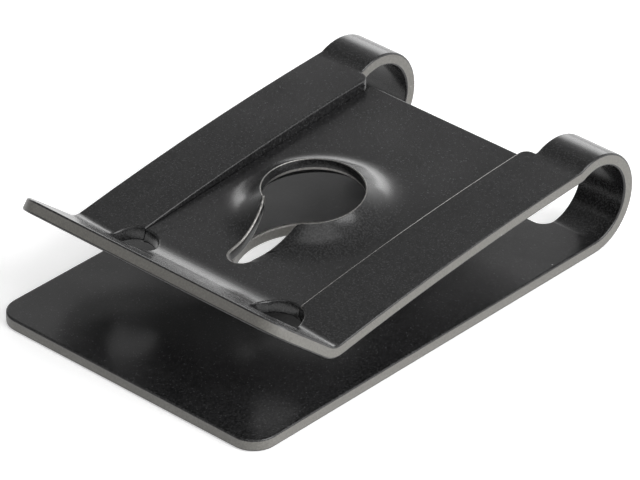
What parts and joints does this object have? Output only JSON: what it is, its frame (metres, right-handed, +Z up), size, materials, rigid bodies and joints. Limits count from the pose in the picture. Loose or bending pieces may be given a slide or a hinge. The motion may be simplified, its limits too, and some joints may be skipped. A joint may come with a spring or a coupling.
{
  "type": "U-shaped spring nut",
  "caption": "Sun visor nut folded from one strip of black spring steel, with a domed keyhole thread in a lanced tongue and a clearance hole below it.",
  "frame": {"origin": "on the axis of the clearance hole, at the underside of the lower leg", "axes": "+Z up from the lower leg to the tongue, +Y from the open front with its lip to the rear bend, +X to the right seen from the front"},
  "size_m": [0.016, 0.0251, 0.006],
  "materials": {
    "black_steel": "satin"
  },
  "bodies": {
    "root": {"spring_nut": "black_steel"}
  },
  "joints": []
}
